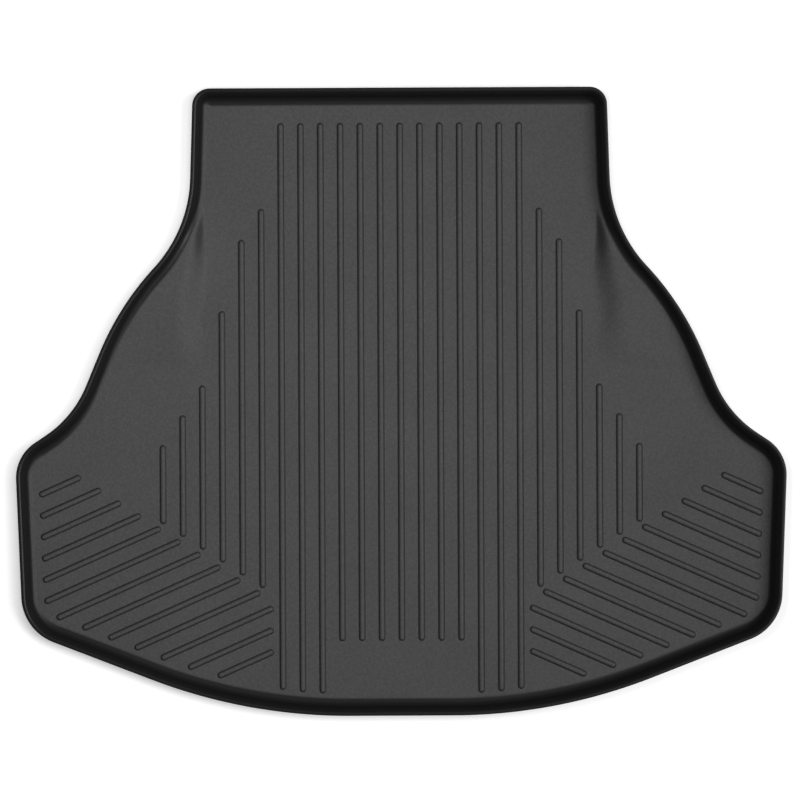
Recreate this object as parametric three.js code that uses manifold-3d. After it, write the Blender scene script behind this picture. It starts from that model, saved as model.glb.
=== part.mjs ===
// A boot liner for a saloon car: one sheet of black elastomer, thermoformed over a mould.
// The floor carries domed anti-slip ribs, which are hollow underneath as formed ribs are. The edge
// turns up into a drafted wall with a small turned-out lip, and beside each wheel arch the wall's
// foot steps up onto a low shelf that fades out towards the tail.
// Millimetres, +Z up. X runs across the car and +Y points to the seat backs. The origin is on the
// ground, in the middle of the liner's plan.
import * as THREE from "three";
import { mergeVertices } from "three/addons/utils/BufferGeometryUtils.js";
import Module from "manifold-3d";

const wasm = await Module();
wasm.setup();

// Sheet and rim section
const SHEET = 3; // thickness of the formed sheet
const RIM_HEIGHT = 38; // ground to the top of the lip
const RIM_DRAFT = 12; // degrees that the wall leans outwards
const LIP_FLAT = 4; // flat part of the lip, outside its bend
const LIP_BEND = 5; // radius over the top of the wall, on the load side
const FOOT_BEND = 12; // radius where the wall meets the floor, on the load side
const FLOOR_BORDER = 6; // flat strip between the wall's foot and the floor panel

// Plan outline at the lip's outer edge: the right half, from the seat end to the tail.
// across is measured from the centre line, back from the seat end, radius rounds the corner.
const LENGTH = 1132;
const WING_WIDTH = 1393; // between the corners of the two wing shoulders
const WING_TAPER = 13; // each side comes in by this much towards the tail
const SEAT_CORNER = { across: 373, back: 0, radius: 32 };
const NECK_FOOT = { across: 381, back: 255, radius: 250 };
const ARCH_CROWN = { across: 508, back: 391.5, radius: 550 };
const ARCH_TAIL = { across: 590.5, back: 591, radius: 200 };
const WING_SHOULDER = { across: WING_WIDTH / 2, back: 661, radius: 76 };
const WING_TAIL = { across: WING_WIDTH / 2 - WING_TAPER, back: 975.5, radius: 90 };
const TAIL_KNUCKLE = { across: 278.5, back: LENGTH, radius: 990 };

// Shelf beside each wheel arch, placed along the outline by its distance back from the seat end
const SHELF_START = 215; // where the shelf begins to part from the neck wall
const SHELF_CREST = 290; // where it stands highest
const SHELF_PEAK = 375; // where it reaches furthest in
const SHELF_END = 520; // where it has faded out
const SHELF_REACH = 118; // furthest reach in from the wall's foot
const SHELF_RISE = 17; // height of the step at the crest
const SHELF_LAND = 0.7; // share of the reach that is level, before the step down

// Ribs
const RIB_PITCH = 36; // between neighbouring ribs, lengthways and slanted alike
const RIB_WIDTH = 12; // across the foot of a rib
const RIB_HEIGHT = 4; // above the floor
const LENGTH_RIBS_A_SIDE = 12; // lengthways ribs on each side of the middle one
const FULL_RIBS_A_SIDE = 6; // those that run on between the slanted ribs to the tail
const SLANT = 24; // degrees that the corner ribs fall away from square across the car
const SLANT_RIBS_BESIDE_ARCH = 4; // corner ribs in the wing, ahead of the last lengthways rib
const MITRE_BACK = 908; // where the first stopped rib meets its corner rib, from the seat end
const RIB_GAP = 22; // between rib ends across the mitre and beside the full ribs
const SHORTEST_RIB = 40; // anything shorter is left out
const SEAT_MARGIN = 66; // rib ends to the outline, at the seat end
const EDGE_MARGIN = 42; // rib ends to the outline, round the wings and the tail
const BARE_RIBS_A_SIDE = 3; // ribs that stop short of the bare panel at the tail, a side
const BARE_BACK = 994; // where they stop, from the seat end

// Line in front of which the floor beside the arches stays plain, from the centre line outwards
const PLAIN_EDGE = [
  { across: 226, back: 181 },
  { across: 300, back: 296 },
  { across: 350, back: 526 },
  { across: 450, back: 676 },
];

// How finely curves are cut into facets
const ARC_STEP = 10; // degrees a facet, round the outline's corners
const LONGEST_FACET = 55; // along the outline
const BEND_FACETS = 3; // round each bend of the rim section
const STEP_FACETS = 3; // down the shelf's step
const RIB_FACETS = 2; // from a rib's foot to its crest
const RIB_END_FACETS = 3; // round half of a rib's end
const CREST_SHARE = 0.22; // of a rib's arc that is flat at its crest

const { degToRad, smoothstep, lerp } = THREE.MathUtils;
const alongCar = (back) => LENGTH / 2 - back;

// Points with outward normals along a polyline whose corners are rounded, anticlockwise from above.
// Each corner is {x, y, radius}. A radius that its straight sides can't hold is limited by them.
function roundedLoop(corners) {
  const at = corners.map((c) => new THREE.Vector2(c.x, c.y));
  const stations = [];
  corners.forEach((corner, i) => {
    const before = at[(i + corners.length - 1) % corners.length];
    const after = at[(i + 1) % corners.length];
    const here = at[i];
    const arriving = here.clone().sub(before).normalize();
    const leaving = after.clone().sub(here).normalize();
    const turn = Math.atan2(arriving.cross(leaving), arriving.dot(leaving));
    const room = Math.min(here.distanceTo(before), here.distanceTo(after)) / 2;
    const tangent = Math.min(corner.radius * Math.tan(Math.abs(turn) / 2), room);
    const start = here.clone().addScaledVector(arriving, -tangent);
    const outward = new THREE.Vector2(arriving.y, -arriving.x);
    const radius = tangent / Math.tan(turn / 2); // negative where the outline turns back
    const centre = start.clone().addScaledVector(outward, -radius);
    const byAngle = Math.abs(turn) / degToRad(ARC_STEP);
    const byLength = Math.abs(turn * radius) / LONGEST_FACET;
    const steps = Math.ceil(Math.max(1, byAngle, byLength));
    for (let k = 0; k <= steps; k++) {
      const normal = outward.clone().rotateAround(new THREE.Vector2(), (turn * k) / steps);
      stations.push({ point: centre.clone().addScaledVector(normal, radius), normal });
    }
  });
  return stations;
}

// Adds stations along the straights where neighbours are further apart than a facet may be.
function subdivided(stations) {
  return stations.flatMap((a, i) => {
    const b = stations[(i + 1) % stations.length];
    const parts = Math.max(1, Math.ceil(a.point.distanceTo(b.point) / LONGEST_FACET));
    return Array.from({ length: parts }, (_, k) => ({
      point: a.point.clone().lerp(b.point, k / parts),
      normal: a.normal.clone().lerp(b.normal, k / parts).normalize(),
    }));
  });
}

// The outline of the whole liner: the right half from tail to seat end, then its mirror image.
function linerOutline() {
  const half = [
    TAIL_KNUCKLE,
    WING_TAIL,
    WING_SHOULDER,
    ARCH_TAIL,
    ARCH_CROWN,
    NECK_FOOT,
    SEAT_CORNER,
  ].map(({ across, back, radius }) => ({ x: across, y: alongCar(back), radius }));
  const mirrored = half.map((corner) => ({ ...corner, x: -corner.x })).reverse();
  return subdivided(roundedLoop([...half, ...mirrored]));
}

// How much of the shelf there is at a point of the outline: it grows smoothly from 0 to 1 where it
// is most, and fades to 0 again.
function shelfShare(point, most) {
  const back = LENGTH / 2 - point.y;
  const growing = smoothstep(back, SHELF_START, most);
  const fading = 1 - smoothstep(back, most, SHELF_END);
  return Math.min(growing, fading);
}

// The rim's section at one station, as {inset, z} pairs from the floor panel under the sheet, round
// the lip, to the floor panel on top. inset is measured in from the outline. Both faces share the
// centres of their bends, and down the step they lie square across the sheet from each other, so it
// keeps its thickness.
function rimSection(point) {
  const reach = FLOOR_BORDER + SHELF_REACH * shelfShare(point, SHELF_PEAK);
  const rise = SHELF_RISE * shelfShare(point, SHELF_CREST) ** 2;
  const fall = reach * (1 - SHELF_LAND);
  const draft = degToRad(RIM_DRAFT);
  const lipCentre = new THREE.Vector2(LIP_FLAT, RIM_HEIGHT - LIP_BEND);
  const wallTop = (LIP_BEND + FOOT_BEND) * Math.cos(draft);
  const bendsTall = (LIP_BEND + FOOT_BEND) * Math.sin(draft);
  const footZ = rise + SHEET + FOOT_BEND;
  const wallTall = lipCentre.y + bendsTall - footZ;
  const footCentre = new THREE.Vector2(lipCentre.x + wallTop + wallTall * Math.tan(draft), footZ);

  const bend = (centre, radius, from, to) =>
    Array.from({ length: BEND_FACETS + 1 }, (_, k) => {
      const angle = lerp(from, to, k / BEND_FACETS);
      return { inset: centre.x + radius * Math.cos(angle), z: centre.y + radius * Math.sin(angle) };
    });
  const face = (below) => {
    const step = Array.from({ length: STEP_FACETS + 1 }, (_, k) => {
      const down = k / STEP_FACETS;
      const tilt = Math.atan((rise * 6 * down * (1 - down)) / fall);
      return {
        inset: footCentre.x + reach - fall * (1 - down) - below * Math.sin(tilt),
        z: SHEET + rise * (1 - smoothstep(down, 0, 1)) - below * Math.cos(tilt),
      };
    });
    return [
      { inset: 0, z: RIM_HEIGHT - below },
      ...bend(lipCentre, LIP_BEND - below, Math.PI / 2, draft),
      ...bend(footCentre, -(FOOT_BEND + below), draft, Math.PI / 2),
      ...step,
    ];
  };
  return [...face(SHEET).reverse(), ...face(0)];
}

// A closed solid through rings of points, each ring anticlockwise from above, from the cap that
// faces down to the cap that faces up.
function lofted(rings) {
  const count = rings[0].length;
  const positions = rings.flat().flatMap((p) => [p.x, p.y, p.z]);
  const index = [];
  for (let r = 0; r + 1 < rings.length; r++)
    for (let j = 0; j < count; j++) {
      const a = r * count + j;
      const b = r * count + ((j + 1) % count);
      index.push(a, b, b + count, a, b + count, a + count);
    }
  const cap = (ring, first, facesUp) =>
    THREE.ShapeUtils.triangulateShape(
      ring.map((p) => new THREE.Vector2(p.x, p.y)),
      [],
    ).forEach(([a, b, c]) =>
      index.push(...(facesUp ? [a, b, c] : [a, c, b]).map((corner) => corner + first)),
    );
  cap(rings[0], 0, false);
  cap(rings.at(-1), (rings.length - 1) * count, true);
  const geometry = new THREE.BufferGeometry();
  geometry.setAttribute("position", new THREE.Float32BufferAttribute(positions, 3));
  geometry.setIndex(index);
  return solidFrom(geometry);
}

function solidFrom(geometry) {
  const merged = mergeVertices(geometry);
  const mesh = new wasm.Mesh({
    numProp: 3,
    vertProperties: new Float32Array(merged.attributes.position.array),
    triVerts: new Uint32Array(merged.index.array),
  });
  return new wasm.Manifold(mesh);
}

function geometryFrom(solid) {
  const mesh = solid.getMesh();
  const geometry = new THREE.BufferGeometry();
  const positions = new THREE.Float32BufferAttribute(mesh.vertProperties, mesh.numProp);
  geometry.setAttribute("position", positions);
  geometry.setIndex(new THREE.BufferAttribute(mesh.triVerts, 1));
  geometry.computeVertexNormals();
  return geometry;
}

// The plain tray: floor panel, shelves, wall and lip, before the ribs are formed into it.
function plainTray(outline) {
  const sections = outline.map(({ point }) => rimSection(point));
  const rings = sections[0].map((_, level) =>
    outline.map(({ point, normal }, j) => {
      const { inset, z } = sections[j][level];
      return new THREE.Vector3(point.x - normal.x * inset, point.y - normal.y * inset, z);
    }),
  );
  return lofted(rings);
}

// How far it is from start, along a unit direction, to the outline moved in by margin. It is 0 where
// start isn't inside that line, which an even number of crossings shows.
function distanceToEdge(outline, margin, start, direction) {
  const loop = outline.map(({ point, normal }) => point.clone().addScaledVector(normal, -margin));
  const crossings = loop.flatMap((a, i) => {
    const side = loop[(i + 1) % loop.length].clone().sub(a);
    const offset = a.clone().sub(start);
    const facing = direction.cross(side);
    const along = offset.cross(side) / facing;
    const share = offset.cross(direction) / facing;
    return along > 0 && share >= 0 && share < 1 ? [along] : [];
  });
  return crossings.length % 2 ? Math.min(...crossings) : 0;
}

// How far back the plain floor beside the arch reaches, at a distance from the centre line.
function plainFloorBack(across) {
  const inner = PLAIN_EDGE.findLast((p) => p.across <= across);
  const outer = PLAIN_EDGE.find((p) => p.across > across);
  if (!inner) return SEAT_MARGIN;
  if (!outer) return inner.back;
  const share = (across - inner.across) / (outer.across - inner.across);
  return lerp(inner.back, outer.back, share);
}

// The mitre runs out from the first stopped rib, halfway between the two rib directions, so that
// ribs of one pitch meet one to one across it.
const firstStopped = RIB_PITCH * (FULL_RIBS_A_SIDE + 1);
const mitreSlope = Math.tan(degToRad(90 - SLANT) / 2);
const mitreY = (across) => alongCar(MITRE_BACK) + (across - firstStopped) * mitreSlope;

// Centre lines of the lengthways ribs, as pairs of ends.
function lengthwaysRibs(outline) {
  const tailward = new THREE.Vector2(0, -1);
  const ribs = [];
  for (let n = -LENGTH_RIBS_A_SIDE; n <= LENGTH_RIBS_A_SIDE; n++) {
    const x = n * RIB_PITCH;
    const across = Math.abs(x);
    const front = new THREE.Vector2(x, alongCar(Math.max(SEAT_MARGIN, plainFloorBack(across))));
    const edgeY = front.y - distanceToEdge(outline, EDGE_MARGIN, front, tailward);
    const stopped = Math.abs(n) > FULL_RIBS_A_SIDE;
    const beforeBare = Math.abs(n) <= BARE_RIBS_A_SIDE;
    let rearY = edgeY;
    if (beforeBare) rearY = Math.max(edgeY, alongCar(BARE_BACK));
    if (stopped) rearY = Math.max(edgeY, mitreY(across) + RIB_GAP / 2);
    ribs.push([front, new THREE.Vector2(x, rearY)]);
  }
  return ribs;
}

// Centre lines of the slanted ribs in the right rear corner. Each starts at the mitre, in line with
// a lengthways rib or where one would be, or beside the full ribs further back.
function slantedRibs(outline) {
  const slant = degToRad(SLANT);
  const outward = new THREE.Vector2(Math.cos(slant), -Math.sin(slant));
  const besideFull = RIB_PITCH * FULL_RIBS_A_SIDE + RIB_GAP;
  const apart = RIB_PITCH / Math.cos(slant); // along the car
  const starts = [];
  for (let n = FULL_RIBS_A_SIDE + 1; n <= LENGTH_RIBS_A_SIDE + SLANT_RIBS_BESIDE_ARCH; n++) {
    const across = n * RIB_PITCH;
    const onMitre = new THREE.Vector2(across, mitreY(across));
    starts.push(onMitre.addScaledVector(outward, RIB_GAP / 2));
  }
  const fall = (besideFull - firstStopped) * Math.tan(slant);
  for (let y = mitreY(firstStopped) - fall - apart; y > -LENGTH / 2 + EDGE_MARGIN; y -= apart)
    starts.push(new THREE.Vector2(besideFull, y));
  return starts.map((start) => {
    const reach = distanceToEdge(outline, EDGE_MARGIN, start, outward);
    return [start, start.clone().addScaledVector(outward, reach)];
  });
}

// A ridge with round ends along a centre line. levels is a list of {half, z}: half its width at
// each height, from the bottom up.
function ridge([from, to], levels) {
  const along = to.clone().sub(from).normalize();
  const heading = along.angle();
  return lofted(
    levels.map(({ half, z }) =>
      [to, from].flatMap((end, turned) =>
        Array.from({ length: RIB_END_FACETS + 1 }, (_, k) => {
          const angle = heading + Math.PI * (turned - 0.5 + k / RIB_END_FACETS);
          return new THREE.Vector3(end.x + half * Math.cos(angle), end.y + half * Math.sin(angle), z);
        }),
      ),
    ),
  );
}

// A rib's arched section between a base height and its crest. Outside and hollow share a centre.
function archLevels(radius, centreZ, baseZ, skirt) {
  const foot = Math.acos((baseZ - centreZ) / radius);
  const crest = foot * CREST_SHARE;
  const arch = Array.from({ length: RIB_FACETS + 1 }, (_, k) => {
    const angle = lerp(foot, crest, k / RIB_FACETS);
    return { half: radius * Math.sin(angle), z: centreZ + radius * Math.cos(angle) };
  });
  return [{ half: arch[0].half, z: baseZ - skirt }, ...arch];
}

function bootLiner() {
  const outline = linerOutline();
  const archRadius = (RIB_WIDTH ** 2 / 4 + RIB_HEIGHT ** 2) / (2 * RIB_HEIGHT);
  const archCentre = SHEET + RIB_HEIGHT - archRadius;
  const outside = archLevels(archRadius, archCentre, SHEET, SHEET / 2);
  const hollow = archLevels(archRadius - SHEET, archCentre, 0, SHEET);

  const right = slantedRibs(outline);
  const left = right.map((ends) => ends.map((p) => new THREE.Vector2(-p.x, p.y)));
  const ribs = [...lengthwaysRibs(outline), ...right, ...left].filter(
    ([from, to]) => from.distanceTo(to) > SHORTEST_RIB,
  );
  const joined = (levels) => ribs.map((ends) => ridge(ends, levels)).reduce((a, b) => a.add(b));
  return plainTray(outline).add(joined(outside)).subtract(joined(hollow));
}

const liner = new THREE.Mesh(
  geometryFrom(bootLiner()),
  new THREE.MeshStandardMaterial({ color: 0x2f3031, roughness: 0.6, metalness: 0 }),
);
liner.name = "liner";

const bootLinerGroup = new THREE.Group();
bootLinerGroup.add(liner);

export default bootLinerGroup;
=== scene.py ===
import bpy
import numpy as np
from bpy.props import FloatProperty, FloatVectorProperty, IntProperty, PointerProperty
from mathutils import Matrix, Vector
from mathutils.geometry import delaunay_2d_cdt


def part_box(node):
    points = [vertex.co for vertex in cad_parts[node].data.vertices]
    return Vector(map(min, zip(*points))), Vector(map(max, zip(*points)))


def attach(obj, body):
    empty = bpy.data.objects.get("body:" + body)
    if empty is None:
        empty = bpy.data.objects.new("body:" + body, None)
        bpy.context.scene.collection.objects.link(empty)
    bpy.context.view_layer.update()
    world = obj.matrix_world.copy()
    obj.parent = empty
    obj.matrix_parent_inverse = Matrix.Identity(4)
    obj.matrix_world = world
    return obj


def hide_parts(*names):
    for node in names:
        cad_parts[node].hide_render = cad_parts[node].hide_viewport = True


bl_info = {
    "name": "Boot liner",
    "version": (1, 0, 0),
    "blender": (4, 5, 0),
    "location": "3D View > Sidebar > Boot liner",
    "description": "Forms a ribbed boot liner from one sheet and sets the stage that it lies on",
    "category": "Object",
}

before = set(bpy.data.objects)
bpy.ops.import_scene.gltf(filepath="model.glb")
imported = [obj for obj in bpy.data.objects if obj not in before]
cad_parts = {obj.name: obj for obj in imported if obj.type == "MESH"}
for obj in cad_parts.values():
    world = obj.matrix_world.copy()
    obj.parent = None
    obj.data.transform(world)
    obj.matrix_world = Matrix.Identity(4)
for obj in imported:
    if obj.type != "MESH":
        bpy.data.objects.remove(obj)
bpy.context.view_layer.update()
LINER_LOW, LINER_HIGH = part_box("liner")
LENGTH = LINER_HIGH.y - LINER_LOW.y

# Right half of the outline at the lip's edge, from the tail to the seat end, in metres: how far
# each corner is across from the centre line and back from the seat end, and its radius.
OUTLINE_CORNERS = {
    "tail_knuckle": (0.2785, LENGTH, 0.99),
    "wing_tail": (0.6835, 0.9755, 0.09),
    "wing_shoulder": (0.6961, 0.661, 0.076),
    "arch_tail": (0.5905, 0.591, 0.2),
    "arch_crown": (0.508, 0.3915, 0.55),
    "neck_foot": (0.381, 0.255, 0.25),
    "seat_corner": (0.373, 0.0, 0.032),
}

# The floor beside the wheel arches stays plain in front of this line: across, back
PLAIN_EDGE = ((0.226, 0.181), (0.3, 0.296), (0.35, 0.526), (0.45, 0.676))

# How finely the surfaces are divided
STATION_SPACING = 0.009  # along the outline
STATION_TURN = np.radians(3)  # round its corners
BEND_ROWS = 9  # across each bend of the rim
STEP_ROWS = 14  # down the shelf's step
EDGE_ROWS = 7  # round the lip's edge
DOME_ROWS = 8  # up a rib's dome
ROOT_ROWS = 5  # up the fillet at its foot
SLOT_END_POINTS = 13  # round half of a rib's end

# Where the smooth, dark band round the rim, partly painted shade, gives way to the grained floor,
# half of the change in metres
BAND_FADE = 0.003
# Flow marks in the sheet, across, in metres
FLOW_MARK = 1 / 7

# The softboxes: place, aim and size in metres. The overhead one hangs over the left shelf.
OVERHEAD_PLACE, OVERHEAD_AIM, OVERHEAD_SIZE = (-0.3, 0.2, 1.6), (-0.3, 0.2, 0), (0.9, 0.9)
KEY_PLACE, KEY_AIM, KEY_SIZE = (6.2, 0, 7.9), (0, 0, 0), (5, 5)

# The studio floor: half its width, and how far under the liner's underside it lies, because the two
# would flicker in one plane. Its lift grows from near to far, by distance from the middle.
PAPER_REACH = 30.0
PAPER_DROP = 0.0003
LIFT_NEAR, LIFT_FROM, LIFT_TO = 0.45, 1.2, 4.0

# The liner lies a little off the middle of the picture, and turned by a hair
CAMERA_ACROSS, CAMERA_BACK, CAMERA_TURN = -0.0017, 0.0029, np.radians(-0.27)


def linear(hex_colour):
    """An sRGB hex colour as linear red, green and blue."""
    value = np.array([int(hex_colour[i : i + 2], 16) for i in (1, 3, 5)]) / 255
    return tuple(np.where(value <= 0.04045, value / 12.92, ((value + 0.055) / 1.055) ** 2.4))


def length(name, description, default):
    """A length in metres, as a property."""
    return FloatProperty(
        name=name, description=description, default=default, min=0, precision=4, unit="LENGTH"
    )


def angle(name, description, degrees):
    """An angle as a property."""
    return FloatProperty(
        name=name, description=description, default=np.radians(degrees), subtype="ANGLE", unit="ROTATION"
    )


def share(name, description, default):
    """A share from 0 to 1 as a property."""
    return FloatProperty(name=name, description=description, default=default, min=0, max=1, subtype="FACTOR")


def colour(name, description, hex_colour):
    """A colour as a property."""
    return FloatVectorProperty(
        name=name, description=description, default=linear(hex_colour), min=0, max=1, subtype="COLOR"
    )


class BootLinerSheet(bpy.types.PropertyGroup):
    """The formed sheet and the section of its rim."""

    thickness: length("Sheet thickness", "Even thickness of the formed sheet", 0.003)
    height: length("Rim height", "From the ground to the top of the lip", LINER_HIGH.z)
    draft: angle("Wall draft", "How far the wall leans outwards", 12)
    lip_flat: length("Lip flat", "Flat part of the lip, outside its bend", 0.004)
    lip_bend: length("Lip bend", "Radius over the top of the wall", 0.005)
    foot_bend: length("Foot bend", "Radius where the wall meets the floor", 0.012)
    border: length("Floor border", "Flat strip between the wall's foot and the floor panel", 0.006)


class BootLinerShelf(bpy.types.PropertyGroup):
    """The low shelf beside each wheel arch."""

    start: length("Start", "Where the shelf parts from the neck wall, back from the seat end", 0.2)
    crest: length("Crest", "Where the shelf stands highest", 0.27)
    peak: length("Peak", "Where the shelf reaches furthest in", 0.41)
    end: length("End", "Where the shelf has faded out", 0.53)
    reach: length("Reach", "Furthest reach in from the wall's foot", 0.145)
    rise: length("Rise", "Height of the step at the crest", 0.018)
    land: share("Land", "Level share of the reach at the peak, before the step down", 0.55)


class BootLinerRibs(bpy.types.PropertyGroup):
    """The anti-slip ribs, lengthways in the middle and slanted in the rear corners."""

    pitch: length("Pitch", "Between neighbouring ribs", 0.036)
    width: length("Width", "Across the foot of a rib", 0.012)
    height: length("Height", "Above the floor", 0.004)
    root: length("Root fillet", "Radius where a rib meets the floor", 0.0015)
    collar: length("Collar", "Flat strip round a rib's foot that keeps the floor's shading flat", 0.0006)
    slant: angle("Slant", "How far the corner ribs fall away from square across the car", 24)
    a_side: IntProperty(name="Lengthways ribs a side", description="Besides the middle one", default=12)
    full: IntProperty(name="Full ribs a side", description="Those that run on to the tail", default=6)
    beside_arch: IntProperty(
        name="Ribs beside the arch", description="Corner ribs ahead of the last lengthways rib", default=4
    )
    bare: IntProperty(
        name="Short ribs a side", description="Those that stop before the bare panel", default=3
    )
    bare_back: length("Bare panel", "Where the short ribs stop, from the seat end", 0.994)
    mitre_back: length("Mitre", "Where the first stopped rib meets its corner rib", 0.908)
    gap: length("Gap", "Between rib ends across the mitre", 0.022)
    shortest: length("Shortest rib", "Anything shorter is left out", 0.04)
    seat_margin: length("Seat margin", "Rib ends to the outline at the seat end", 0.066)
    edge_margin: length("Edge margin", "Rib ends to the outline round the wings and the tail", 0.042)


class BootLinerFinish(bpy.types.PropertyGroup):
    """Colours and grain of the elastomer."""

    floor: colour("Floor", "Grained floor", "#4a4a4a")
    # Rim colour: a smooth, near-black finish, and partly painted shade on the walls, widest at both ends
    rim: colour("Rim", "Smooth wall and lip", "#191919")
    rim_width: length("Rim width", "Smooth band along the sides, from the lip's edge", 0.021)
    shaded_end_width: length("Rim width at the ends", "The same band along the seat end and the tail", 0.028)
    grain: length("Grain", "Size of one cell of the grain", 0.0045)
    grain_depth: length("Grain depth", "Depth of the grain", 0.0003)


class BootLinerStage(bpy.types.PropertyGroup):
    """Floor, lights and camera."""

    floor: colour("Floor", "Colour of the studio floor", "#f2f2f2")
    overhead: FloatProperty(name="Overhead softbox", description="Power in watts", default=14, unit="POWER")
    key: FloatProperty(name="Side softbox", description="Power in watts", default=600, unit="POWER")
    world: FloatProperty(name="Surroundings", description="Brightness of the surroundings", default=0.06)
    width_in_view: length("Width in view", "Width that the picture takes in", 1.441)
    camera_height: length("Camera height", "Camera above the lip", 5)


def unit(vectors):
    """Each vector divided by its length."""
    return vectors / np.linalg.norm(vectors, axis=-1, keepdims=True)


def groups(counts):
    """For groups of the given sizes laid end to end: each member's group, and its place in it from 0."""
    owner = np.repeat(np.arange(len(counts)), counts)
    return owner, np.arange(counts.sum()) - (np.cumsum(counts) - counts)[owner]


def smoothstep(t):
    """Rises from 0 to 1 with no slope at either end: 3t^2 - 2t^3."""
    t = np.clip(t, 0, 1)
    return t * t * (3 - 2 * t)


def liner_outline():
    """Points and outward normals along the lip's edge, anticlockwise from above.

    A corner of radius r that turns by angle a is an arc of that radius, which touches both its
    sides r tan(a/2) from the corner. Where that is over half a side, the radius shrinks to fit.
    An arc's point is its centre plus its radius times its normal, with the radius taken negative
    where the outline turns back. The straights between arcs are divided evenly."""
    across, back, radii = np.array(list(OUTLINE_CORNERS.values())).T
    x = np.concatenate([across, -across[::-1]])
    y = np.tile(LENGTH / 2 - back, 2)
    y[len(back) :] = y[len(back) :][::-1]
    radii = np.concatenate([radii, radii[::-1]])
    corners = np.stack([x, y], -1)

    arriving = corners - np.roll(corners, 1, 0)
    leaving = np.roll(corners, -1, 0) - corners
    room = np.minimum(np.linalg.norm(arriving, axis=1), np.linalg.norm(leaving, axis=1)) / 2
    arriving, leaving = unit(arriving), unit(leaving)
    cross = arriving[:, 0] * leaving[:, 1] - arriving[:, 1] * leaving[:, 0]
    turn = np.arctan2(cross, (arriving * leaving).sum(1))
    tangent = np.minimum(radii * np.tan(abs(turn) / 2), room)
    radius = tangent / np.tan(turn / 2)
    outward = np.stack([arriving[:, 1], -arriving[:, 0]], -1)
    centre = corners - arriving * tangent[:, None] - outward * radius[:, None]

    steps = np.ceil(np.maximum(abs(turn) / STATION_TURN, abs(turn * radius) / STATION_SPACING)).astype(int)
    corner, place = groups(steps + 1)
    heading = np.arctan2(outward[:, 1], outward[:, 0])[corner] + turn[corner] * place / steps[corner]
    normals = np.stack([np.cos(heading), np.sin(heading)], -1)
    points = centre[corner] + radius[corner, None] * normals

    ahead, normals_ahead = np.roll(points, -1, 0), np.roll(normals, -1, 0)
    # Where two arcs meet with no straight between them, the shared point is kept once
    parts = np.ceil(np.linalg.norm(ahead - points, axis=1) / STATION_SPACING - 1e-6).astype(int)
    owner, place = groups(parts)
    t = (place / parts[owner])[:, None]
    points = points[owner] * (1 - t) + ahead[owner] * t
    normals = unit(normals[owner] * (1 - t) + normals_ahead[owner] * t)
    return points, normals


def shelf_share(points, shelf, most):
    """How much of the shelf there is at each station: a smooth rise from its start to where it is
    most, and a smooth fall from there to its end, by distance back from the seat end."""
    back = LENGTH / 2 - points[:, 1]
    growing = smoothstep((back - shelf.start) / (most - shelf.start))
    fading = 1 - smoothstep((back - most) / (shelf.end - most))
    return np.minimum(growing, fading)


def rim_section(sheet, shelf, points):
    """The load side's section at each station, as inset from the outline, height, and tilt of the
    surface from level, in rows from the lip's edge in to the floor panel.

    The lip's top is level. The lip bend is an arc that tilts from level to the wall's draft, and
    the foot bend an arc that tilts back. The wall is the straight between them. The shelf follows:
    a level land, and a step down, whose height is the shelf's rise times 1 - smoothstep. The reach
    goes by the shelf's share for its peak, and the rise by its share for its crest. The level share
    of the reach grows with the reach, so next to the neck the shelf is all step."""
    rise = shelf.rise * shelf_share(points, shelf, shelf.crest)[:, None]
    steepest = np.pi / 2 - sheet.draft
    tilt = np.linspace(0, steepest, BEND_ROWS)[None, :]
    lip_inset = sheet.lip_flat + sheet.lip_bend * np.sin(tilt)
    lip_height = sheet.height - sheet.lip_bend * (1 - np.cos(tilt))

    bends = sheet.lip_bend + sheet.foot_bend
    foot_height = rise + sheet.thickness + sheet.foot_bend
    wall = sheet.height - sheet.lip_bend + bends * np.sin(sheet.draft) - foot_height
    foot_inset = sheet.lip_flat + bends * np.cos(sheet.draft) + wall * np.tan(sheet.draft)
    back_tilt = tilt[:, ::-1]
    bend_inset = foot_inset - sheet.foot_bend * np.sin(back_tilt)
    bend_height = foot_height - sheet.foot_bend * np.cos(back_tilt)

    spread = shelf_share(points, shelf, shelf.peak)[:, None]
    reach = sheet.border + shelf.reach * spread
    # Never quite nothing, or the step's first row would lie on the foot bend's last
    land = np.maximum(reach * shelf.land * spread, sheet.border / 10)
    fall = reach - land
    down = np.linspace(0, 1, STEP_ROWS)[None, :]
    step_inset = foot_inset + land + fall * down
    step_height = sheet.thickness + rise * (1 - smoothstep(down))
    step_tilt = np.arctan(rise * 6 * down * (1 - down) / fall)

    stations = np.ones_like(reach)
    edge = sheet.thickness / 2
    inset = np.hstack([stations * edge, stations * lip_inset, bend_inset, step_inset])
    height = np.hstack([stations * sheet.height, stations * lip_height, bend_height, step_height])
    tilts = np.hstack([stations * 0, stations * tilt, stations * back_tilt, step_tilt])
    return inset, height, tilts


def distance_to_edge(loop, starts, direction):
    """From each start, along a unit direction, to the closed loop of points. It is the least of the
    line's crossings with the loop's sides, and 0 for a start outside, which an even count shows."""
    side = np.roll(loop, -1, 0) - loop
    offset = loop[None] - starts[:, None]
    facing = direction[0] * side[:, 1] - direction[1] * side[:, 0]
    along = (offset[..., 0] * side[:, 1] - offset[..., 1] * side[:, 0]) / facing
    place = (offset[..., 0] * direction[1] - offset[..., 1] * direction[0]) / facing
    crossed = (along > 0) & (place >= 0) & (place < 1)
    nearest = np.where(crossed, along, np.inf).min(1)
    return np.where(crossed.sum(1) % 2 == 1, nearest, 0)


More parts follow.
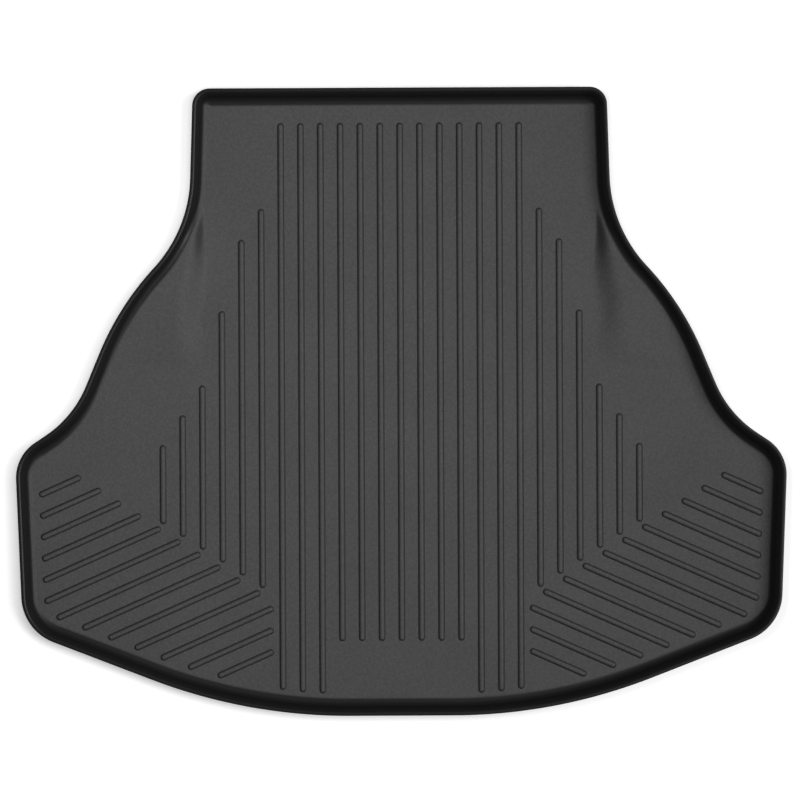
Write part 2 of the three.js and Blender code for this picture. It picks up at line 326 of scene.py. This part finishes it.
def rib_lines(ribs, loop):
    """Both ends of each rib's centre line, (ribs, 2, 2), inside a closed loop.

    Lengthways ribs stand one pitch apart. The outer ones stop at a mitre, which runs halfway
    between the two rib directions from the first stopped rib, so ribs of one pitch meet across it.
    The slanted ribs start there, and beside the full ribs further back."""

    def mitre(across):
        """The mitre's y at a distance across from the centre line."""
        slope = np.tan((np.pi / 2 - ribs.slant) / 2)
        return LENGTH / 2 - ribs.mitre_back + (across - ribs.pitch * (ribs.full + 1)) * slope

    number = np.arange(-ribs.a_side, ribs.a_side + 1)
    x = number * ribs.pitch
    plain_across, plain_back = np.array(PLAIN_EDGE).T
    beside_arch = np.interp(abs(x), plain_across, plain_back)
    front_back = np.where(abs(x) < plain_across[0], ribs.seat_margin, beside_arch)
    front = np.stack([x, LENGTH / 2 - front_back], -1)
    rear = front[:, 1] - distance_to_edge(loop, front, np.array([0.0, -1.0]))
    rear = np.where(abs(number) <= ribs.bare, np.maximum(rear, LENGTH / 2 - ribs.bare_back), rear)
    stopped = np.maximum(rear, mitre(abs(x)) + ribs.gap / 2)
    rear = np.where(abs(number) > ribs.full, stopped, rear)
    lengthways = np.stack([front, np.stack([x, rear], -1)], 1)

    outward = np.array([np.cos(ribs.slant), -np.sin(ribs.slant)])
    on_mitre = np.arange(ribs.full + 1, ribs.a_side + ribs.beside_arch + 1) * ribs.pitch
    starts = np.stack([on_mitre, mitre(on_mitre)], -1) + outward * ribs.gap / 2
    beside_full = ribs.pitch * ribs.full + ribs.gap
    first = ribs.pitch * (ribs.full + 1)
    apart = ribs.pitch / np.cos(ribs.slant)
    last_on_mitre = mitre(first) - (beside_full - first) * np.tan(ribs.slant)
    y = np.arange(last_on_mitre - apart, -LENGTH / 2 + ribs.edge_margin, -apart)
    starts = np.vstack([starts, np.stack([np.full_like(y, beside_full), y], -1)])
    ends = starts + outward * distance_to_edge(loop, starts, outward)[:, None]
    right = np.stack([starts, ends], 1)

    lines = np.vstack([lengthways, right, right * (-1, 1)])
    return lines[np.linalg.norm(lines[:, 1] - lines[:, 0], axis=1) > ribs.shortest]


def rib_section(sheet, ribs):
    """Half of a rib's section, as distance from its centre line, height and tilt, from the foot in.

    The dome is an arc through both edges of the rib's foot and its crest. A root fillet touches
    both the dome and the floor, and a level collar lies round it."""
    dome = (ribs.width**2 / 4 + ribs.height**2) / (2 * ribs.height)
    centre = sheet.thickness + ribs.height - dome
    root_centre = sheet.thickness + ribs.root - centre
    meeting = np.arccos(root_centre / (dome + ribs.root))
    root_half = (dome + ribs.root) * np.sin(meeting)
    root_tilt = np.linspace(0, meeting, ROOT_ROWS)
    dome_tilt = np.linspace(meeting, meeting / DOME_ROWS / 2, DOME_ROWS)[1:]
    half = np.concatenate([
        [root_half + ribs.collar],
        root_half - ribs.root * np.sin(root_tilt),
        dome * np.sin(dome_tilt),
    ])
    height = np.concatenate([
        [sheet.thickness],
        sheet.thickness + ribs.root * (1 - np.cos(root_tilt)),
        centre + dome * np.cos(dome_tilt),
    ])
    return half, height, np.concatenate([[0], root_tilt, dome_tilt])


def tilted(direction, height, tilt):
    """Normals that lean from upright by tilt, along a plan direction. The heights are not used."""
    level = direction * np.sin(tilt)[..., None]
    return np.concatenate([level, np.cos(tilt)[..., None]], -1)


def rim_surface(points, normals, section):
    """Rows of points round the liner: each station's point, moved in along its normal by the
    section's inset, at the section's height. The first axis is the row."""
    inset, height, tilt = (part.T for part in section)
    plan = points[None] - normals[None] * inset[..., None]
    inward = np.broadcast_to(-normals[None], plan.shape)
    return np.concatenate([plan, height[..., None]], -1), tilted(inward, height, tilt)


def rib_surface(lines, section):
    """Nested slots on each rib, (ribs, rows, points, 3): a slot is every point at one distance from
    the rib's line, so it has two straight sides and two half-round ends."""
    half, height, tilt = section
    along = lines[:, 1] - lines[:, 0]
    heading = np.arctan2(along[:, 1], along[:, 0])
    quarter = np.pi / 2
    turn = np.concatenate([
        np.linspace(-quarter, quarter, SLOT_END_POINTS),
        np.linspace(quarter, 3 * quarter, SLOT_END_POINTS),
    ])
    bearing = heading[:, None] + turn
    ray = np.stack([np.cos(bearing), np.sin(bearing)], -1)[:, None]
    ends = np.repeat(lines[:, ::-1], SLOT_END_POINTS, axis=1)[:, None]
    plan = ends + ray * half[None, :, None, None]
    heights = np.broadcast_to(height[None, :, None], plan.shape[:-1])
    tilts = np.broadcast_to(tilt[None, :, None], plan.shape[:-1])
    rays = np.broadcast_to(ray, plan.shape)
    return np.concatenate([plan, heights[..., None]], -1), tilted(rays, heights, tilts)


def net(index):
    """Four-sided faces over rows of vertex numbers. The last axis goes round, anticlockwise as seen
    from the side that the faces point to, and the one before it steps inwards."""
    ahead = np.roll(index, -1, -1)
    faces = [index[..., :-1, :], ahead[..., :-1, :], ahead[..., 1:, :], index[..., 1:, :]]
    return np.stack(faces, -1).reshape(-1, 4)


def floor_faces(plan, border, slots):
    """Triangles between the floor's border and the ribs' slots: the constrained Delaunay division
    of the border with the slots as holes. A triangle is kept if it lies in the border alone."""
    loops = [border, *slots]
    used = np.concatenate(loops)
    bounds = np.cumsum([0] + [len(loop) for loop in loops])
    regions = [list(range(a, b)) for a, b in zip(bounds[:-1], bounds[1:])]
    corners = [Vector(point) for point in plan[used].tolist()]
    _, _, triangles, origin, _, inside = delaunay_2d_cdt(corners, [], regions, 1, 1e-7)
    if len(origin) != len(used):
        raise RuntimeError("the ribs' slots meet each other or the floor's border")
    kept = [triangle for triangle, faces in zip(triangles, inside) if list(faces) == [0]]
    same = np.array([numbers[0] for numbers in origin])
    return used[same[np.array(kept)]]


def formed_sheet(sheet, shelf, ribs):
    """The whole sheet as points, faces and attributes.

    The load side is one skin: rim, ribs and the floor between them, which share their vertices.
    The underside is that skin moved by the sheet's thickness against its normals, turned over. The
    lip's edge is a half round of half the thickness, carried round the outline."""
    points, normals = liner_outline()
    section = rim_section(sheet, shelf, points)
    rim, rim_normals = rim_surface(points, normals, section)
    lines = rib_lines(ribs, points - normals * ribs.edge_margin)
    slots, slot_normals = rib_surface(lines, rib_section(sheet, ribs))

    rim_index = np.arange(rim[..., 0].size).reshape(rim.shape[:2])
    slot_index = rim_index.size + np.arange(slots[..., 0].size).reshape(slots.shape[:3])
    top = np.vstack([rim.reshape(-1, 3), slots.reshape(-1, 3)])
    top_normals = np.vstack([rim_normals.reshape(-1, 3), slot_normals.reshape(-1, 3)])
    skin = [net(rim_index), net(slot_index), slot_index[:, -1]]
    skin.append(floor_faces(top[:, :2], rim_index[-1], slot_index[:, 0]))

    under = top - sheet.thickness * top_normals
    under[:, 2] = np.maximum(under[:, 2], 0)
    turn = np.linspace(-np.pi / 2, np.pi / 2, EDGE_ROWS)[1:-1, None]
    edge_plan = points - normals * sheet.thickness / 2
    edge_plan = edge_plan[None] + normals * (np.cos(turn) * sheet.thickness / 2)[..., None]
    edge_height = sheet.height - sheet.thickness / 2 * (1 - np.sin(turn)) + np.zeros(len(points))
    edge = np.concatenate([edge_plan, edge_height[..., None]], -1)
    edge_index = 2 * len(top) + np.arange(edge[..., 0].size).reshape(edge.shape[:2])
    rows = np.vstack([rim_index[:1] + len(top), edge_index, rim_index[:1]])

    faces = [*skin, *(part[:, ::-1] + len(top) for part in skin), net(rows)]

    def both_skins(rim_values, slot_values):
        """One attribute over every point: both skins alike, and 0 on the lip's edge."""
        skin_values = np.concatenate([np.ravel(rim_values), np.ravel(slot_values)])
        return np.concatenate([skin_values, skin_values, np.zeros(edge_index.size)])

    attributes = {
        "inset": both_skins(section[0].T, np.ones(slot_index.size)),
        # How steep the surface is at each point; the material darkens steep faces by it, as painted shade
        "steepness": both_skins(1 - rim_normals[..., 2] ** 2, 1 - slot_normals[..., 2] ** 2),
        # How far the rim faces the seat end or the tail; the material widens its dark band there, as painted
        # shade
        "shaded_ends": both_skins(np.tile(normals[:, 1] ** 2, len(rim)), np.zeros(slot_index.size)),
    }
    return np.vstack([top, under, edge.reshape(-1, 3)]), faces, attributes


def mesh_object(name, points, faces, attributes):
    """A smooth shaded mesh object at the origin, from arrays of points and of faces."""
    mesh = bpy.data.meshes.new(name)
    mesh.from_pydata(points.tolist(), [], [face for part in faces for face in part.tolist()])
    for attribute, values in attributes.items():
        layer = mesh.attributes.new(attribute, "FLOAT", "POINT")
        layer.data.foreach_set("value", values.astype(np.float32))
    mesh.shade_smooth()
    mesh.validate()
    piece = bpy.data.objects.new(name, mesh)
    bpy.context.scene.collection.objects.link(piece)
    return piece


def add_node(tree, kind, inputs=None, **settings):
    """Adds a node. settings are its own properties. inputs gives each socket's value or, where it
    is another node's socket, its link."""
    node = tree.nodes.new(kind)
    for name, value in settings.items():
        setattr(node, name, value)
    for socket, value in (inputs or {}).items():
        if isinstance(value, bpy.types.NodeSocket):
            tree.links.new(value, node.inputs[socket])
        else:
            node.inputs[socket].default_value = value
    return node


def new_material(name):
    """A material with an empty node tree, and its output node."""
    material = bpy.data.materials.new(name)
    material.use_nodes = True
    material.node_tree.nodes.clear()
    return material, add_node(material.node_tree, "ShaderNodeOutputMaterial")


def elastomer(finish):
    """Thermoplastic elastomer, black all through and thermoformed. The mould's fine grain scatters the light
    on the floor, which gives it its soft grey look. Steep faces, such as the shelves' steps, the ribs' flanks
    and the walls, are smoother, and their colour is darkened by their steepness as painted shade. The rim's
    band is a smooth, almost black finish and partly painted shade, wider at the seat end and the tail."""
    material, output = new_material("black_tpe_grained")
    tree = material.node_tree
    place = add_node(tree, "ShaderNodeTexCoord").outputs["Object"]

    inset = add_node(tree, "ShaderNodeAttribute", attribute_name="inset").outputs["Fac"]
    steepness = add_node(tree, "ShaderNodeAttribute", attribute_name="steepness").outputs["Fac"]
    shaded_ends = add_node(tree, "ShaderNodeAttribute", attribute_name="shaded_ends").outputs["Fac"]
    # The dark band is wider at the seat end and tail: painted shade, as those walls face away from the lamps
    wider = finish.shaded_end_width - finish.rim_width
    width = add_node(
        tree, "ShaderNodeMath", {0: shaded_ends, 1: wider, 2: finish.rim_width}, operation="MULTIPLY_ADD"
    ).outputs["Value"]
    past = add_node(tree, "ShaderNodeMath", {0: inset, 1: width}, operation="SUBTRACT").outputs["Value"]
    rim = add_node(
        tree,
        "ShaderNodeMapRange",
        {"Value": past, "From Min": -BAND_FADE, "From Max": BAND_FADE, "To Min": 1.0, "To Max": 0.0},
        interpolation_type="SMOOTHSTEP",
    ).outputs["Result"]
    # Steep faces are mixed up to 0.65 of the way to the rim colour by their steepness: painted shade
    side = add_node(
        tree, "ShaderNodeMapRange", {"Value": steepness, "From Min": 0.05, "From Max": 0.4, "To Max": 0.65}
    ).outputs["Result"]
    # One factor for the rim band and the steep faces: a darker colour, partly painted shade, and less
    # roughness and grain
    smooth = add_node(tree, "ShaderNodeMath", {0: rim, 1: side}, operation="MAXIMUM").outputs["Value"]

    # Haircell grain is about 0.8 mm across. It is drawn coarser, or it wouldn't show in the picture.
    # Its hollows hold a little less light, as well as turning it aside.
    cells = add_node(
        tree, "ShaderNodeTexVoronoi", {"Vector": place, "Scale": 1 / finish.grain, "Randomness": 1.0},
        feature="SMOOTH_F1",
    ).outputs["Distance"]
    fine = add_node(
        tree, "ShaderNodeTexNoise", {"Vector": place, "Scale": 1.7 / finish.grain, "Detail": 2.0}
    ).outputs["Fac"]
    grain = add_node(tree, "ShaderNodeMath", {0: cells, 1: fine}, operation="ADD").outputs["Value"]
    pitted = add_node(
        tree,
        "ShaderNodeMapRange",
        {"Value": grain, "From Min": 0.6, "From Max": 1.1, "To Min": 1.12, "To Max": 0.9},
    ).outputs["Result"]

    # Flow marks, where the sheet was drawn over the mould
    clouds = add_node(
        tree, "ShaderNodeTexNoise", {"Vector": place, "Scale": 1 / FLOW_MARK, "Detail": 3.0, "Roughness": 0.5}
    ).outputs["Fac"]
    tone = add_node(
        tree,
        "ShaderNodeMapRange",
        {"Value": clouds, "From Min": 0.3, "From Max": 0.7, "To Min": 0.96, "To Max": 1.04},
    ).outputs["Result"]
    tone = add_node(tree, "ShaderNodeMath", {0: tone, 1: pitted}, operation="MULTIPLY").outputs["Value"]
    grained = add_node(
        tree, "ShaderNodeVectorMath", {0: (*finish.floor,), "Scale": tone}, operation="SCALE"
    ).outputs["Vector"]
    # Sockets 6 and 7 are the two colours, and output 2 is their mix
    coloured = add_node(
        tree, "ShaderNodeMix", {"Factor": smooth, 6: grained, 7: (*finish.rim, 1)}, data_type="RGBA"
    ).outputs[2]

    grain_strength = add_node(
        tree, "ShaderNodeMapRange", {"Value": smooth, "To Min": 1.0, "To Max": 0.25}
    ).outputs["Result"]
    bump = add_node(
        tree,
        "ShaderNodeBump",
        {"Height": grain, "Strength": grain_strength, "Distance": finish.grain_depth},
    ).outputs["Normal"]

    roughness = add_node(
        tree, "ShaderNodeMapRange", {"Value": smooth, "To Min": 0.72, "To Max": 0.45}
    ).outputs["Result"]
    shader = add_node(
        tree,
        "ShaderNodeBsdfPrincipled",
        {
            "Base Color": coloured,
            "Roughness": roughness,
            "Normal": bump,
            "IOR": 1.5,
            "Specular IOR Level": 0.35,
        },
    )
    tree.links.new(shader.outputs["BSDF"], output.inputs["Surface"])
    return material


def studio_floor(colour_of_floor):
    """Matt white paper. Seen by the camera, or in a reflection, it is lifted to white by a little
    light of its own, so that only the liner's shadow is darker. Far off, where the lamps don't
    reach, it needs more."""
    material, output = new_material("white_paper_sweep")
    tree = material.node_tree
    rays = add_node(tree, "ShaderNodeLightPath").outputs
    seen = rays["Is Camera Ray"]
    for other in ("Is Glossy Ray", "Is Transmission Ray"):
        seen = add_node(
            tree, "ShaderNodeMath", {0: seen, 1: rays[other]}, operation="MAXIMUM"
        ).outputs["Value"]
    place = add_node(tree, "ShaderNodeTexCoord").outputs["Object"]
    distance = add_node(tree, "ShaderNodeVectorMath", {0: place}, operation="LENGTH").outputs["Value"]
    lift = add_node(
        tree,
        "ShaderNodeMapRange",
        {"Value": distance, "From Min": LIFT_FROM, "From Max": LIFT_TO, "To Min": LIFT_NEAR},
    ).outputs["Result"]
    lifted = add_node(tree, "ShaderNodeMath", {0: seen, 1: lift}, operation="MULTIPLY")
    paper = add_node(tree, "ShaderNodeBsdfDiffuse", {"Color": (*colour_of_floor, 1)})
    glow = add_node(tree, "ShaderNodeEmission", {"Color": (1, 1, 1, 1), "Strength": lifted.outputs["Value"]})
    both = add_node(tree, "ShaderNodeAddShader", {0: paper.outputs["BSDF"], 1: glow.outputs["Emission"]})
    tree.links.new(both.outputs["Shader"], output.inputs["Surface"])
    return material


def softbox(name, power, size, place, target):
    """A rectangular area light at place, turned to face target."""
    light = bpy.data.lights.new(name, "AREA")
    light.shape = "RECTANGLE"
    light.size, light.size_y = size
    light.energy = power
    lamp = bpy.data.objects.new(name, light)
    lamp.location = place
    lamp.rotation_euler = (Vector(target) - Vector(place)).to_track_quat("-Z", "Y").to_euler()
    lamp.visible_camera = False
    bpy.context.scene.collection.objects.link(lamp)
    return lamp


class BOOTLINER_OT_sheet(bpy.types.Operator):
    """Form the liner: one sheet with its rim, shelves and ribs"""

    bl_idname = "bootliner.sheet"
    bl_label = "Form the sheet"

    def execute(self, context):
        scene = context.scene
        points, faces, attributes = formed_sheet(
            scene.bootliner_sheet, scene.bootliner_shelf, scene.bootliner_ribs
        )
        piece = mesh_object("liner_sheet", points, faces, attributes)
        piece.data.materials.append(elastomer(scene.bootliner_finish))
        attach(piece, "root")
        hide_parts("liner")
        return {"FINISHED"}


class BOOTLINER_OT_stage(bpy.types.Operator):
    """Set the white floor, the softboxes and the camera straight above the liner"""

    bl_idname = "bootliner.stage"
    bl_label = "Set the stage"

    def execute(self, context):
        scene = context.scene
        settings = scene.bootliner_stage
        corners = np.array([[-1, -1], [1, -1], [1, 1], [-1, 1]]) * PAPER_REACH
        corners = np.hstack([corners, np.full((4, 1), -PAPER_DROP)])
        floor = mesh_object("studio_floor", corners, [np.array([[0, 1, 2, 3]])], {})
        floor.data.materials.append(studio_floor(settings.floor))

        overhead = softbox(
            "overhead_softbox", settings.overhead, OVERHEAD_SIZE, OVERHEAD_PLACE, OVERHEAD_AIM
        )
        overhead.visible_glossy = False
        softbox("side_softbox", settings.key, KEY_SIZE, KEY_PLACE, KEY_AIM)
        world = bpy.data.worlds.new("surroundings")
        world.use_nodes = True
        background = world.node_tree.nodes["Background"]
        background.inputs["Color"].default_value = (1, 1, 1, 1)
        background.inputs["Strength"].default_value = settings.world
        scene.world = world
        scene.view_settings.view_transform = "Standard"

        camera = bpy.data.cameras.new("camera")
        camera.lens = camera.sensor_width * settings.camera_height / settings.width_in_view
        holder = bpy.data.objects.new("camera", camera)
        holder.location = (CAMERA_ACROSS, CAMERA_BACK, LINER_HIGH.z + settings.camera_height)
        holder.rotation_euler.z = CAMERA_TURN
        scene.collection.objects.link(holder)
        scene.camera = holder
        return {"FINISHED"}


class BOOTLINER_PT_sidebar(bpy.types.Panel):
    """The liner's sizes and colours, and the steps that make it"""

    bl_idname = "BOOTLINER_PT_sidebar"
    bl_label = "Boot liner"
    bl_space_type = "VIEW_3D"
    bl_region_type = "UI"
    bl_category = "Boot liner"

    def draw(self, context):
        for name, (label, group) in SETTINGS.items():
            box = self.layout.box()
            box.label(text=label)
            for prop in group.__annotations__:
                box.prop(getattr(context.scene, name), prop)
        for operator in OPERATORS:
            self.layout.operator(operator.bl_idname)


SETTINGS = {
    "bootliner_sheet": ("Sheet", BootLinerSheet),
    "bootliner_shelf": ("Arch shelves", BootLinerShelf),
    "bootliner_ribs": ("Ribs", BootLinerRibs),
    "bootliner_finish": ("Finish", BootLinerFinish),
    "bootliner_stage": ("Stage", BootLinerStage),
}
OPERATORS = (BOOTLINER_OT_sheet, BOOTLINER_OT_stage)


def register():
    """Adds the settings to the scene, and the operators and the panel."""
    for name, (_, group) in SETTINGS.items():
        bpy.utils.register_class(group)
        setattr(bpy.types.Scene, name, PointerProperty(type=group))
    for made in (*OPERATORS, BOOTLINER_PT_sidebar):
        bpy.utils.register_class(made)


def unregister():
    """Takes them away again, in the other order."""
    for made in (BOOTLINER_PT_sidebar, *reversed(OPERATORS)):
        bpy.utils.unregister_class(made)
    for name, (_, group) in reversed(SETTINGS.items()):
        delattr(bpy.types.Scene, name)
        bpy.utils.unregister_class(group)


def main():
    """Sets the stage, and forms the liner."""
    register()
    bpy.ops.bootliner.stage()
    bpy.ops.bootliner.sheet()


if __name__ == "__main__":
    main()
